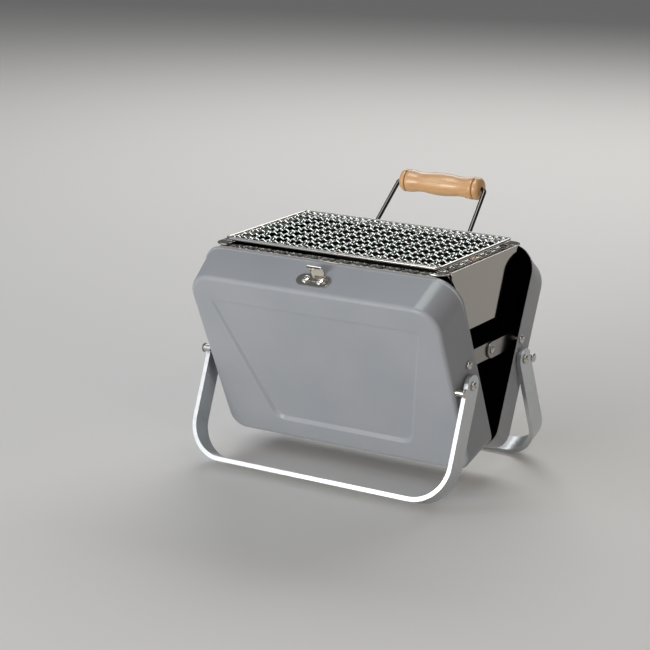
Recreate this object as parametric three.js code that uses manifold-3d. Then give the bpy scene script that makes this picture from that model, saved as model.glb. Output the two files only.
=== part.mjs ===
// Tabletop grill that folds like a briefcase: two pressed shells stand open in a V on two U legs,
// two folding stays hold them, and a stainless fire box with a grate hangs between their top rims.
// Millimetres, +Z up, front towards -Y. Each shell half is built upright in its own frame, with the
// hinge axis along X at its origin, its depth towards -Y and its height along +Z, then leaned out.

import * as THREE from 'three';
import { mergeVertices } from 'three/addons/utils/BufferGeometryUtils.js';
import Module from 'manifold-3d';

const wasm = await Module();
wasm.setup();

// Common values
const degree = Math.PI / 180;
const clearance = 0.3;
const overrun = 3;
const roundSides = 12;

// Shells
const foldAngle = 23.3 * degree;
const rimWidthTop = 263.4;
const rimTaper = 3.4;
const shellHeight = 181.5;
const shellDepth = 38;
const shellWall = 1.2;
const sideInset = 4.5;
const topInset = 6.8;
const topCornerRadius = 25;
const bottomCornerRadius = 16;
const faceEdgeRadius = 4.5;
const rimGap = 0.2;
const beadOut = 0.8;
const beadDepth = 2.6;
const cornerSteps = 6;
const edgeSteps = 3;

// Pressed panel in each shell face
const panelBottom = 20;
const panelTopInset = 29.5;
const panelSideInsetLow = 59.2;
const panelSideInsetHigh = 23.2;
const panelSink = 3;
const panelCornerRadius = 8;

// Legs
const legLean = 22 * degree;
const legReach = 107.4;
const legBarWidth = 20;
const legBarThickness = 4;
const legSideGap = 3.1;
const legBendRadius = 36;
const legBendSteps = 8;
const legPivotHeight = 83.3;
const legPivotDepth = 17.5;
const legShankRadius = 2.6;
const legHeadRadius = 4.2;
const legHeadHeight = 2.2;
const legCollarRadius = 5;
const legTailRadius = 3.4;
const legTailHeight = 1;

// Stop studs for the legs
const studAlong = 8.3;
const studRadius = 3.5;
const studFlangeRadius = 4.3;
const studFlangeThickness = 1.2;
const studShankRadius = 2;
const studTailRadius = 2.5;
const studTailHeight = 0.7;

// Folding stays
const stayPivotRise = 16.4;
const stayPivotDepth = 10.2;
const stayHalfWidth = 7.5;
const stayKnuckleShift = 4.5;
const stayThickness = 1.5;
const staySideInset = 10.7;
const stayShankRadius = 2.2;
const stayHeadRadius = 4;
const stayHeadHeight = 1.8;
const stayTailHeight = 0.9;
const stayCollarRadius = 3.4;
const knuckleHeadRadius = 3.6;
const knuckleHeadHeight = 1.3;
const knuckleTailHeight = 0.6;

// Hinge along the bottom
const hingeEndInset = 31.7;
const hingeKnuckles = 5;
const hingeBarrelRadius = 2.5;
const hingePinRadius = 1.05;
const hingePinProud = 1;
const hingeLeafDepth = 16;
const hingeLeafThickness = 1.2;
const hingeNotchMargin = 0.5;
const hingeRivetInset = 28;
const hingeRivetDepth = 10;
const hingeRivetShank = 1.6;
const hingeRivetHead = 3;
const hingeRivetHeight = 1.2;

// Latch keeper on the front shell
const keeperDepth = 24;
const keeperLength = 33;
const keeperWidth = 13;
const keeperThickness = 1.2;
const keeperRivetSpan = 14.6;
const keeperTongueWidth = 14;
const keeperTongueDepth = 14;
const keeperTongueHeight = 10;
const keeperCurlRadius = 3;
const keeperCurlReach = 1.6;

// Small rivets of the keeper, the latch base and the handle brackets
const trimRivetHead = 4;
const trimRivetHeight = 1.6;
const trimRivetShank = 1.7;
const trimRivetTailHeight = 0.8;

// Latch on the back shell
const latchPivotDepth = 8;
const latchPivotLift = 3.5;
const latchBarrelRadius = 2.6;
const latchWireRadius = 1.2;
const latchHalfWidth = 9;
const latchReach = 18.45;
const latchTipReach = 10.4;
const latchTipBend = 44.6 * degree;
const latchBaseWidth = 26;
const latchBaseDepth = 13;
const latchBaseThickness = 1.2;
const latchBarrelLength = 13;
const latchRivetSpan = 8.4;
const latchRivetHead = 2.8;
const latchRivetShank = 1.3;
const latchRivetDepth = 15.5;
const latchCornerRadius = 3;

// Handle
const handlePivotDepth = 20;
const handlePivotLift = 4.2;
const handleLean = 23.7 * degree;
const handleReach = 59;
const handleWireRadius = 2;
const handleSideLean = 4;
const handleEndGap = 3.5;
const handleBendRadius = 4;
const handleEndBend = 3;
const handleEndProud = 1.5;
const gripLength = 85;
const gripRadius = 10.8;
const gripEndRadius = 7.5;
const gripShoulderRadius = 9.7;
const gripGrooveRadius = 9.8;
const gripNeckRadius = 9.2;
const gripSides = 20;
const bracketEarThickness = 1.6;
const bracketEarHalf = 5;
const bracketBaseLength = 17;
const bracketBaseThickness = 1.2;
const bracketStopLift = 6;
const bracketRivetShare = 0.62;

// Fire box
const boxFloorDrop = 54.2;
const boxFloorHalf = 38.5;
const boxFloorLip = 12;
const boxShoulderDrop = 18.6;
const boxShoulderHalf = 42.5;
const boxSheet = 1;
const boxFlangeInset = 9.4;
const boxFlangeOverhang = 1.4;
const boxEndInset = 15.1;
const boxLipEndInset = 6.6;
const endPlateSheet = 1.2;
const endFlangeReach = 12.9;
const endFlangeInset = 4.5;
const endCornerRadius = 5;
const trayThickness = 1.2;
const traySlotColumns = 10;
const traySlotRows = 4;
const traySlotLength = 12;
const traySlotWidth = 5;
const traySlotMargin = 6.6;

// Grate
const grateEndInset = 6.4;
const grateSideOverhang = 3.6;
const grateLift = 3.7;
const grateRodRadius = 1.5;
const grateCornerRadius = 5;
const grateFootInset = 17.6;
const netWireWidth = 1.5;
const netWireHeight = 1.5;
const netWiresAlong = 13;
const netWiresAcross = 9;
const netLeftGap = 5.6;
const netRightGap = 11.8;
const netFrontGap = 9.9;
const netBackGap = 5.6;

// Values that follow from the ones above
const rimHalfTop = rimWidthTop / 2;
const rimWidthBottom = rimWidthTop - rimTaper;
const panelTop = shellHeight - panelTopInset;
const panelHalfBottom = rimHalfTop - panelSideInsetLow;
const panelHalfTop = rimHalfTop - panelSideInsetHigh;
const legOuterHalf = rimHalfTop + legSideGap;
const stayPivotHeight = legPivotHeight + stayPivotRise;
const stayInnerFace = rimHalfTop - staySideInset;
const hingeLength = rimWidthTop - 2 * hingeEndInset;
const hingeRivetSpan = hingeLength - 2 * hingeRivetInset;
const handleGripHalfWire = gripLength / 2 + handleEndGap;
const handlePivotHalf = handleGripHalfWire + handleSideLean;
const pivotRise = legPivotHeight * Math.cos(foldAngle) - legPivotDepth * Math.sin(foldAngle);
const legRise = legReach * Math.cos(legLean) + legBarWidth / 2 * Math.sin(legLean);
const hingeHeight = legRise - pivotRise;
const topSlope = Math.atan(topInset / shellDepth);
const beadTop = shellHeight + beadOut;
const beadMiddle = rimGap + beadDepth / 2;
const rimTopHeight = hingeHeight + beadTop * Math.cos(foldAngle) - beadMiddle * Math.sin(foldAngle);
const rimReach = beadTop * Math.sin(foldAngle) + beadMiddle * Math.cos(foldAngle);
const boxFlangeStart = rimReach - boxFlangeInset;
const boxFlangeEnd = rimReach + boxFlangeOverhang;
const boxHalfLength = rimHalfTop - boxEndInset;
const endFlangeHalf = boxFlangeStart - endFlangeInset;
const boxLipHalfLength = boxHalfLength - boxLipEndInset;
const grateHalfLength = boxHalfLength - grateEndInset;
const grateHalfWidth = boxFlangeStart + grateSideOverhang;
const flangeHeight = rimTopHeight + clearance + boxSheet / 2;
const endFlangeTop = flangeHeight + boxSheet / 2 + clearance + endPlateSheet;
const grateHeight = endFlangeTop + grateLift;
const stayHalfSpan = stayPivotHeight * Math.sin(foldAngle) + stayPivotDepth * Math.cos(foldAngle);
const stayFrontLength = stayHalfSpan + stayKnuckleShift;
const stayBackLength = stayHalfSpan - stayKnuckleShift;
const stayOuterInnerFace = stayInnerFace + stayThickness + clearance;
const earInner = handlePivotHalf + handleEndBend + 2 * clearance;
const earOuter = earInner + bracketEarThickness;
const bracketRivetHalf = earInner + bracketBaseLength * bracketRivetShare;

const finish = (name, color, roughness, metalness) => (
  new THREE.MeshStandardMaterial({ name, color, roughness, metalness }));
const steel = finish('steel', 0xc9cacc, 0.25, 1);
const paint = finish('paint', 0x939497, 0.4, 0.1);
const aluminium = finish('aluminium', 0xd6d7d8, 0.35, 1);
const wood = finish('wood', 0xd2a573, 0.35, 0);

// Solids

function solid(geometry) {
  const bare = geometry.clone();
  bare.deleteAttribute('normal');
  bare.deleteAttribute('uv');
  const merged = mergeVertices(bare);
  const index = merged.index.array;
  const kept = [];
  for (let i = 0; i < index.length; i += 3) {
    const [a, b, c] = [index[i], index[i + 1], index[i + 2]];
    if (a !== b && b !== c && c !== a) kept.push(a, b, c);
  }
  const vertProperties = new Float32Array(merged.attributes.position.array);
  const triVerts = new Uint32Array(kept);
  return new wasm.Manifold(new wasm.Mesh({ numProp: 3, vertProperties, triVerts }));
}

function geometryOf(manifold) {
  const data = manifold.getMesh();
  const geometry = new THREE.BufferGeometry();
  geometry.setAttribute('position', new THREE.Float32BufferAttribute(data.vertProperties, 3));
  geometry.setIndex(new THREE.Uint32BufferAttribute(data.triVerts, 1));
  geometry.computeVertexNormals();
  return geometry;
}

function joined(parts) {
  return parts.map(solid).reduce((sum, part) => sum.add(part));
}

function cut(body, tools) {
  return tools.map(solid).reduce((rest, tool) => rest.subtract(tool), body);
}

function addMesh(parent, name, geometry, material) {
  const mesh = new THREE.Mesh(geometry, material);
  mesh.name = name;
  parent.add(mesh);
  return mesh;
}

// Shapes

function box(x0, x1, y0, y1, z0, z1) {
  const geometry = new THREE.BoxGeometry(x1 - x0, y1 - y0, z1 - z0);
  geometry.translate((x0 + x1) / 2, (y0 + y1) / 2, (z0 + z1) / 2);
  return geometry;
}

function rodX(x0, x1, y, z, radius, sides = roundSides) {
  const geometry = new THREE.CylinderGeometry(radius, radius, x1 - x0, sides);
  geometry.rotateZ(Math.PI / 2);
  geometry.translate((x0 + x1) / 2, y, z);
  return geometry;
}

function rodZ(x, y, z0, z1, radius, sides = roundSides) {
  const geometry = new THREE.CylinderGeometry(radius, radius, z1 - z0, sides);
  geometry.rotateX(Math.PI / 2);
  geometry.translate(x, y, (z0 + z1) / 2);
  return geometry;
}

// A plate whose outline lies in X and Z, from y0 to y1
function plateY(shape, y0, y1, curveSegments = cornerSteps) {
  const geometry = new THREE.ExtrudeGeometry(shape, { depth: y1 - y0, bevelEnabled: false, curveSegments });
  geometry.rotateX(Math.PI / 2);
  geometry.translate(0, y1, 0);
  return geometry;
}

// A plate whose outline is drawn in Y and Z, from x0 to x1
function plateX(shape, x0, x1, curveSegments = cornerSteps) {
  const geometry = new THREE.ExtrudeGeometry(shape, { depth: x1 - x0, bevelEnabled: false, curveSegments });
  geometry.rotateX(Math.PI / 2);
  geometry.rotateZ(Math.PI / 2);
  geometry.translate(x0, 0, 0);
  return geometry;
}

// A plate whose outline lies in X and Y, from z0 to z1
function plateZ(shape, z0, z1, curveSegments = cornerSteps) {
  const geometry = new THREE.ExtrudeGeometry(shape, { depth: z1 - z0, bevelEnabled: false, curveSegments });
  geometry.translate(0, 0, z0);
  return geometry;
}

// A skin over rings of as many points each, closed by flat ends or run round to its first ring
function loft(rings, closed = false) {
  const count = rings[0].length;
  const positions = rings.flat().flatMap((point) => point.toArray());
  const index = [];
  const spans = closed ? rings.length : rings.length - 1;
  for (let r = 0; r < spans; r += 1) {
    for (let i = 0; i < count; i += 1) {
      const a = r * count + i;
      const b = r * count + (i + 1) % count;
      const c = ((r + 1) % rings.length) * count + i;
      const d = ((r + 1) % rings.length) * count + (i + 1) % count;
      index.push(a, b, d, a, d, c);
    }
  }
  if (!closed) {
    const last = (rings.length - 1) * count;
    for (let i = 1; i < count - 1; i += 1) {
      index.push(0, i + 1, i, last, last + i, last + i + 1);
    }
  }
  const geometry = new THREE.BufferGeometry();
  geometry.setAttribute('position', new THREE.Float32BufferAttribute(positions, 3));
  geometry.setIndex(index);
  return geometry;
}

// A round bar along points that lie in one plane or bend gently out of it
function wire(points, radius, sides = 8, closed = false) {
  const count = points.length;
  const tangents = points.map((point, i) => {
    const before = closed ? points[(i + count - 1) % count] : points[Math.max(i - 1, 0)];
    const after = closed ? points[(i + 1) % count] : points[Math.min(i + 1, count - 1)];
    return after.clone().sub(before).normalize();
  });
  const normal = new THREE.Vector3(0, 1, 0);
  const rings = points.map((point, i) => {
    normal.addScaledVector(tangents[i], -normal.dot(tangents[i])).normalize();
    const side = new THREE.Vector3().crossVectors(tangents[i], normal);
    return Array.from({ length: sides }, (unused, k) => {
      const angle = k / sides * 2 * Math.PI;
      return point.clone().addScaledVector(normal, radius * Math.cos(angle))
        .addScaledVector(side, radius * Math.sin(angle));
    });
  });
  return loft(rings, closed);
}

// Corners of a route rounded by arcs, one radius for each corner between its ends
function rounded(corners, radii, steps = 4) {
  const points = [];
  corners.forEach((corner, i) => {
    if (i === 0 || i === corners.length - 1) {
      points.push(corner.clone());
      return;
    }
    const radius = radii[i - 1];
    const into = corner.clone().sub(corners[i - 1]).normalize();
    const out = corners[i + 1].clone().sub(corner).normalize();
    const half = into.angleTo(out) / 2;
    const start = corner.clone().addScaledVector(into, -radius * Math.tan(half));
    const inward = out.clone().sub(into).normalize();
    const centre = corner.clone().addScaledVector(inward, radius / Math.cos(half));
    const first = start.clone().sub(centre);
    for (let k = 0; k <= steps; k += 1) {
      const angle = k / steps * 2 * half;
      points.push(centre.clone().addScaledVector(first, Math.cos(angle))
        .addScaledVector(into, radius * Math.sin(angle)));
    }
  });
  return points;
}

// A rivet along +Z: its head stands on z = 0 and its tail is spread below the grip
function rivet({ headRadius, headHeight, shankRadius, grip, tailRadius, tailHeight, collars = [] }) {
  const profile = [new THREE.Vector2(0, headHeight)];
  const domeSteps = 2;
  const bare = collars.length === 0 || collars[0].top > 0;
  for (let k = 1; k <= domeSteps; k += 1) {
    const angle = k / domeSteps * Math.PI / 2;
    profile.push(new THREE.Vector2(headRadius * Math.sin(angle), headHeight * Math.cos(angle)));
  }
  // A collar right under the head takes the place of the shank there
  if (bare) profile.push(new THREE.Vector2(shankRadius, 0));
  if (bare && collars.length > 0) profile.push(new THREE.Vector2(shankRadius, -collars[0].top));
  collars.forEach(({ top, bottom, radius }) => {
    profile.push(new THREE.Vector2(radius, -top), new THREE.Vector2(radius, -bottom));
    profile.push(new THREE.Vector2(shankRadius, -bottom));
  });
  profile.push(new THREE.Vector2(shankRadius, -grip), new THREE.Vector2(tailRadius, -grip));
  profile.push(new THREE.Vector2(tailRadius - tailHeight / 2, -grip - tailHeight));
  profile.push(new THREE.Vector2(0, -grip - tailHeight));
  const geometry = new THREE.LatheGeometry(profile.reverse(), roundSides);
  geometry.rotateX(Math.PI / 2);
  return geometry;
}

// The same rivet with its head towards +X or -X
function sideRivet(side, seatX, y, z, sizes) {
  const geometry = rivet(sizes);
  geometry.rotateY(side * Math.PI / 2);
  geometry.translate(side * seatX, y, z);
  return geometryOf(solid(geometry));
}

// The two ends of a piece in a half's own frame, named as they lie on the whole grill
const endsOf = {
  front: [['left', -1], ['right', 1]],
  back: [['left', 1], ['right', -1]],
};

// Shell walls

function rimHalf(height) {
  return (rimWidthBottom + (rimWidthTop - rimWidthBottom) * height / shellHeight) / 2;
}

function wallHalf(height, depth) {
  return rimHalf(height) - sideInset * depth / shellDepth;
}

function topWall(depth) {
  return shellHeight - topInset * depth / shellDepth;
}

function shellRing(depth, inset) {
  const low = inset;
  const high = topWall(depth) - inset;
  const halfHigh = wallHalf(shellHeight, depth) - inset;
  const halfLow = wallHalf(0, depth) - inset;
  const highRadius = topCornerRadius - inset;
  const lowRadius = bottomCornerRadius - inset;
  const corners = [
    [halfLow - lowRadius, low + lowRadius, lowRadius, -Math.PI / 2],
    [halfHigh - highRadius, high - highRadius, highRadius, 0],
    [highRadius - halfHigh, high - highRadius, highRadius, Math.PI / 2],
    [lowRadius - halfLow, low + lowRadius, lowRadius, Math.PI],
  ];
  return corners.flatMap(([x, z, radius, start]) => Array.from({ length: cornerSteps + 1 }, (unused, k) => {
    const angle = start + k / cornerSteps * Math.PI / 2;
    return new THREE.Vector3(x + radius * Math.cos(angle), -depth, z + radius * Math.sin(angle));
  }));
}

function edgeRings(inset) {
  const radius = faceEdgeRadius - inset;
  return Array.from({ length: edgeSteps + 1 }, (unused, k) => {
    const angle = k / edgeSteps * Math.PI / 2;
    const depth = shellDepth - faceEdgeRadius + radius * Math.sin(angle);
    return shellRing(depth, inset + radius * (1 - Math.cos(angle)));
  });
}

function panelWedge(grow, shift) {
  const low = panelBottom - grow;
  const high = panelTop + overrun;
  const spread = (panelHalfTop - panelHalfBottom) / (panelTop - panelBottom);
  const halfLow = panelHalfBottom + grow;
  const halfHigh = panelHalfTop + grow + overrun * spread;
  const radius = panelCornerRadius;
  const shape = new THREE.Shape();
  shape.moveTo(-halfLow + radius, low);
  shape.lineTo(halfLow - radius, low);
  shape.quadraticCurveTo(halfLow, low, halfLow + radius * spread, low + radius);
  shape.lineTo(halfHigh, high);
  shape.lineTo(-halfHigh, high);
  shape.lineTo(-halfLow - radius * spread, low + radius);
  shape.quadraticCurveTo(-halfLow, low, -halfLow + radius, low);
  const front = shellDepth + overrun;
  const geometry = plateY(shape, -front, 0, cornerSteps);
  const position = geometry.attributes.position;
  for (let i = 0; i < position.count; i += 1) {
    const floor = shellDepth - panelSink * (panelTop - position.getZ(i)) / (panelTop - panelBottom);
    if (position.getY(i) > -shellDepth / 2) position.setY(i, -floor + shift);
  }
  return geometry;
}

function shellHoles(top, sides) {
  const holes = [];
  const notchHalf = rimWidthBottom / 2 - bottomCornerRadius / 3;
  holes.push(rodX(-notchHalf, notchHalf, 0, 0, hingeBarrelRadius + hingeNotchMargin));
  for (const side of [-1, 1]) {
    const x = side * hingeRivetSpan / 2;
    holes.push(rodZ(x, -hingeRivetDepth, -overrun, shellWall + overrun, hingeRivetShank + clearance));
    for (const [depth, height, radius] of sides) {
      const [x0, x1] = side > 0 ? [shellDepth, rimWidthTop] : [-rimWidthTop, -shellDepth];
      holes.push(rodX(x0, x1, -depth, height, radius + clearance));
    }
  }
  for (const [x, depth, radius] of top) {
    const hole = rodZ(0, 0, -shellWall - overrun, overrun, radius + clearance);
    holes.push(hole.rotateX(topSlope).translate(x, -depth, topWall(depth)));
  }
  return holes;
}

function shellGeometry(topHoles, sideHoles) {
  const outerRings = [
    shellRing(rimGap, -beadOut / 2),
    shellRing(rimGap + beadOut / 2, -beadOut),
    shellRing(rimGap + beadDepth - beadOut / 2, -beadOut),
    shellRing(rimGap + beadDepth, 0),
    ...edgeRings(0),
  ];
  const innerRings = [shellRing(-overrun, shellWall), ...edgeRings(shellWall)];
  const outer = solid(loft(outerRings)).subtract(solid(panelWedge(0, 0)));
  const inner = solid(loft(innerRings)).subtract(solid(panelWedge(shellWall, shellWall)));
  return geometryOf(cut(outer.subtract(inner), shellHoles(topHoles, sideHoles)));
}

// Hinge

function hingeLeaf(parent, name, own) {
  const pitch = hingeLength / hingeKnuckles;
  const seat = shellWall + clearance;
  const top = seat + hingeLeafThickness;
  const backed = hingeBarrelRadius + hingeNotchMargin;
  const half = hingeLength / 2;
  const parts = [box(-half, half, -hingeLeafDepth, -backed, seat, top)];
  for (let k = 0; k < hingeKnuckles; k += 1) {
    if (k % 2 !== own) continue;
    const x0 = -half + k * pitch + clearance / 2;
    const x1 = -half + (k + 1) * pitch - clearance / 2;
    parts.push(rodX(x0, x1, 0, 0, hingeBarrelRadius));
    parts.push(box(x0, x1, -backed - clearance, 0, seat, Math.min(top, hingeBarrelRadius)));
  }
  const holes = [rodX(-half - overrun, half + overrun, 0, 0, hingePinRadius + clearance)];
  for (const side of [-1, 1]) {
    const x = side * hingeRivetSpan / 2;
    holes.push(rodZ(x, -hingeRivetDepth, -overrun, top + overrun, hingeRivetShank + clearance));
  }
  addMesh(parent, name, geometryOf(cut(joined(parts), holes)), steel);
}

function hingeRivets(parent, place) {
  for (const [label, side] of endsOf[place]) {
    const geometry = rivet({
      headRadius: hingeRivetHead,
      headHeight: hingeRivetHeight,
      shankRadius: hingeRivetShank,
      grip: shellWall + hingeLeafThickness + 3 * clearance,
      tailRadius: hingeRivetHead - hingeRivetShank / 2,
      tailHeight: hingeRivetHeight / 2,
    });
    geometry.rotateX(Math.PI);
    geometry.translate(side * hingeRivetSpan / 2, -hingeRivetDepth, -clearance);
    const name = `${place}_hinge_rivet_${label}`;
    addMesh(parent, name, geometryOf(solid(geometry)), steel);
  }
}

// Legs

function legGeometry() {
  const outer = legOuterHalf;
  const inner = outer - legBarThickness;
  const low = -legReach;
  const floor = low + legBarThickness;
  const bend = legBendRadius;
  const innerBend = bend - legBarThickness;
  const high = legBarWidth / 2 + overrun;
  const shape = new THREE.Shape();
  shape.moveTo(outer, high);
  shape.lineTo(inner, high);
  shape.lineTo(inner, floor + innerBend);
  shape.absarc(inner - innerBend, floor + innerBend, innerBend, 0, -Math.PI / 2, true);
  shape.lineTo(innerBend - inner, floor);
  shape.absarc(innerBend - inner, floor + innerBend, innerBend, -Math.PI / 2, -Math.PI, true);
  shape.lineTo(-inner, high);
  shape.lineTo(-outer, high);
  shape.lineTo(-outer, low + bend);
  shape.absarc(bend - outer, low + bend, bend, Math.PI, Math.PI * 3 / 2, false);
  shape.lineTo(outer - bend, low);
  shape.absarc(outer - bend, low + bend, bend, -Math.PI / 2, 0, false);
  shape.lineTo(outer, high);
  const bar = plateY(shape, -legBarWidth / 2, legBarWidth / 2, legBendSteps);
  const side = new THREE.Shape();
  const half = legBarWidth / 2;
  side.moveTo(-half, low - overrun);
  side.lineTo(half, low - overrun);
  side.lineTo(half, 0);
  side.absarc(0, 0, half, 0, Math.PI, false);
  side.lineTo(-half, low - overrun);
  const trim = plateX(side, -outer - overrun, outer + overrun, cornerSteps);
  const hole = rodX(-outer - overrun, outer + overrun, 0, 0, legShankRadius + clearance);
  return geometryOf(cut(solid(bar).intersect(solid(trim)), [hole]));
}

function addLegs(half, place) {
  const pivot = new THREE.Group();
  pivot.position.set(0, -legPivotDepth, legPivotHeight);
  pivot.rotation.x = -legLean - foldAngle;
  half.add(pivot);
  addMesh(pivot, `${place}_leg`, legGeometry(), aluminium);
  for (const [label, side] of endsOf[place]) {
    const seat = legOuterHalf + clearance;
    const collarTop = legBarThickness + 2 * clearance;
    const wallOut = wallHalf(legPivotHeight, legPivotDepth - legCollarRadius) + clearance;
    const tailSeat = wallHalf(legPivotHeight, legPivotDepth + legTailRadius) - shellWall - clearance;
    const name = `${place}_leg_rivet_${label}`;
    addMesh(half, name, sideRivet(side, seat, -legPivotDepth, legPivotHeight, {
      headRadius: legHeadRadius,
      headHeight: legHeadHeight,
      shankRadius: legShankRadius,
      grip: seat - tailSeat,
      tailRadius: legTailRadius,
      tailHeight: legTailHeight,
      collars: [{ top: collarTop, bottom: seat - wallOut, radius: legCollarRadius }],
    }), steel);
  }
}

function studPlace() {
  const lean = legLean + foldAngle;
  const across = legBarWidth / 2 + studRadius + clearance;
  const height = legPivotHeight - studAlong * Math.cos(lean) + across * Math.sin(lean);
  const depth = legPivotDepth + studAlong * Math.sin(lean) + across * Math.cos(lean);
  return { height, depth };
}

function addStuds(half, place) {
  const { height, depth } = studPlace();
  for (const [label, side] of endsOf[place]) {
    const seat = legOuterHalf + clearance;
    const wallOut = wallHalf(height, depth - studRadius) + clearance;
    const tailSeat = wallHalf(height, depth + studTailRadius) - shellWall - 3 * clearance;
    const name = `${place}_leg_stop_${label}`;
    addMesh(half, name, sideRivet(side, seat, -depth, height, {
      headRadius: studFlangeRadius,
      headHeight: studFlangeThickness,
      shankRadius: studShankRadius,
      grip: seat - tailSeat,
      tailRadius: studTailRadius,
      tailHeight: studTailHeight,
      collars: [{ top: 0, bottom: seat - wallOut, radius: studRadius }],
    }), steel);
  }
}

// Stays

function linkShape(length) {
  const shape = new THREE.Shape();
  shape.absarc(length, 0, stayHalfWidth, -Math.PI / 2, Math.PI / 2, false);
  shape.absarc(0, 0, stayHalfWidth, Math.PI / 2, Math.PI * 3 / 2, false);
  shape.closePath();
  for (const centre of [0, length]) {
    const hole = new THREE.Path();
    hole.absarc(centre, 0, stayShankRadius + clearance, 0, 2 * Math.PI, true);
    shape.holes.push(hole);
  }
  return shape;
}

function addStays(root, frontHalf, backHalf) {
  const height = hingeHeight + stayPivotHeight * Math.cos(foldAngle) - stayPivotDepth * Math.sin(foldAngle);
  for (const [label, side] of endsOf.front) {
    const faces = (inner) => {
      const ends = [side * inner, side * (inner + stayThickness)];
      return [Math.min(...ends), Math.max(...ends)];
    };
    const stay = new THREE.Group();
    stay.position.set(0, -stayHalfSpan, height);
    root.add(stay);
    const front = plateX(linkShape(stayFrontLength), ...faces(stayInnerFace));
    addMesh(stay, `stay_front_link_${label}`, geometryOf(solid(front)), steel);
    const back = plateX(linkShape(stayBackLength), ...faces(stayOuterInnerFace));
    back.translate(0, stayFrontLength, 0);
    addMesh(stay, `stay_back_link_${label}`, geometryOf(solid(back)), steel);

    const knuckleSeat = stayOuterInnerFace + stayThickness + clearance;
    addMesh(stay, `stay_knuckle_${label}`, sideRivet(side, knuckleSeat, stayFrontLength, 0, {
      headRadius: knuckleHeadRadius,
      headHeight: knuckleHeadHeight,
      shankRadius: stayShankRadius,
      grip: 2 * stayThickness + 3 * clearance,
      tailRadius: knuckleHeadRadius,
      tailHeight: knuckleTailHeight,
    }), steel);

    const headSeat = wallHalf(stayPivotHeight, stayPivotDepth - stayHeadRadius) + clearance;
    const wallIn = wallHalf(stayPivotHeight, stayPivotDepth + stayHeadRadius) - shellWall - clearance;
    const linkOut = stayInnerFace + stayThickness + clearance;
    const pinAt = [headSeat, -stayPivotDepth, stayPivotHeight];
    addMesh(frontHalf, `front_stay_rivet_${label}`, sideRivet(side, ...pinAt, {
      headRadius: stayHeadRadius,
      headHeight: stayHeadHeight,
      shankRadius: stayShankRadius,
      grip: headSeat - stayInnerFace + clearance,
      tailRadius: stayHeadRadius,
      tailHeight: stayTailHeight,
      collars: [{ top: headSeat - wallIn, bottom: headSeat - linkOut, radius: stayCollarRadius }],
    }), steel);
    addMesh(backHalf, `back_stay_rivet_${label}`, sideRivet(-side, ...pinAt, {
      headRadius: stayHeadRadius,
      headHeight: stayHeadHeight,
      shankRadius: stayShankRadius,
      grip: headSeat - wallIn,
      tailRadius: stayHeadRadius,
      tailHeight: wallIn - stayOuterInnerFace - stayThickness - clearance,
    }), steel);
  }
}

// Fittings on the top walls

// A group on the top wall at a depth, with its +Z square to the wall and its -Y towards the face
function topSeat(half, depth) {
  const seat = new THREE.Group();
  seat.position.set(0, -depth, topWall(depth));
  seat.rotation.x = topSlope;
  half.add(seat);
  return seat;
}

function trimRivet(x, y, seatHeight, headRadius = trimRivetHead, shankRadius = trimRivetShank) {
  const geometry = rivet({
    headRadius,
    headHeight: trimRivetHeight * headRadius / trimRivetHead,
    shankRadius,
    grip: seatHeight + shellWall + clearance,
    tailRadius: (headRadius + shankRadius) / 2,
    tailHeight: trimRivetTailHeight,
  });
  geometry.translate(x, y, seatHeight);
  return geometryOf(solid(geometry));
}

function ovalShape(length, width, holeSpan) {
  const shape = new THREE.Shape();
  shape.absarc((length - width) / 2, 0, width / 2, -Math.PI / 2, Math.PI / 2, false);
  shape.absarc((width - length) / 2, 0, width / 2, Math.PI / 2, Math.PI * 3 / 2, false);
  shape.closePath();
  for (const side of [-1, 1]) {
    const hole = new THREE.Path();
    hole.absarc(side * holeSpan / 2, 0, trimRivetShank + clearance, 0, 2 * Math.PI, true);
    shape.holes.push(hole);
  }
  return shape;
}

function addKeeper(half) {
  const seat = topSeat(half, keeperDepth);
  const oval = ovalShape(keeperLength, keeperWidth, keeperRivetSpan);
  const base = plateZ(oval, clearance, clearance + keeperThickness);
  const back = keeperDepth - keeperTongueDepth;
  const front = back - keeperThickness;
  const rise = clearance + keeperTongueHeight - keeperCurlRadius;
  const inner = keeperCurlRadius - keeperThickness;
  const shape = new THREE.Shape();
  shape.moveTo(back, clearance);
  shape.lineTo(back, rise);
  shape.absarc(back - keeperCurlRadius, rise, keeperCurlRadius, 0, Math.PI / 2, false);
  shape.lineTo(back - keeperCurlRadius - keeperCurlReach, rise + keeperCurlRadius);
  shape.lineTo(back - keeperCurlRadius - keeperCurlReach, rise + inner);
  shape.lineTo(back - keeperCurlRadius, rise + inner);
  shape.absarc(back - keeperCurlRadius, rise, inner, Math.PI / 2, 0, true);
  shape.lineTo(front, clearance + keeperThickness);
  shape.lineTo(back - keeperWidth / 2, clearance + keeperThickness);
  shape.lineTo(back - keeperWidth / 2, clearance);
  const tongue = plateX(shape, -keeperTongueWidth / 2, keeperTongueWidth / 2);
  addMesh(seat, 'latch_keeper', geometryOf(joined([base, tongue])), steel);
  const top = 2 * clearance + keeperThickness;
  for (const [label, side] of endsOf.front) {
    const pin = trimRivet(side * keeperRivetSpan / 2, 0, top);
    addMesh(seat, `keeper_rivet_${label}`, pin, steel);
  }
}

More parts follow.
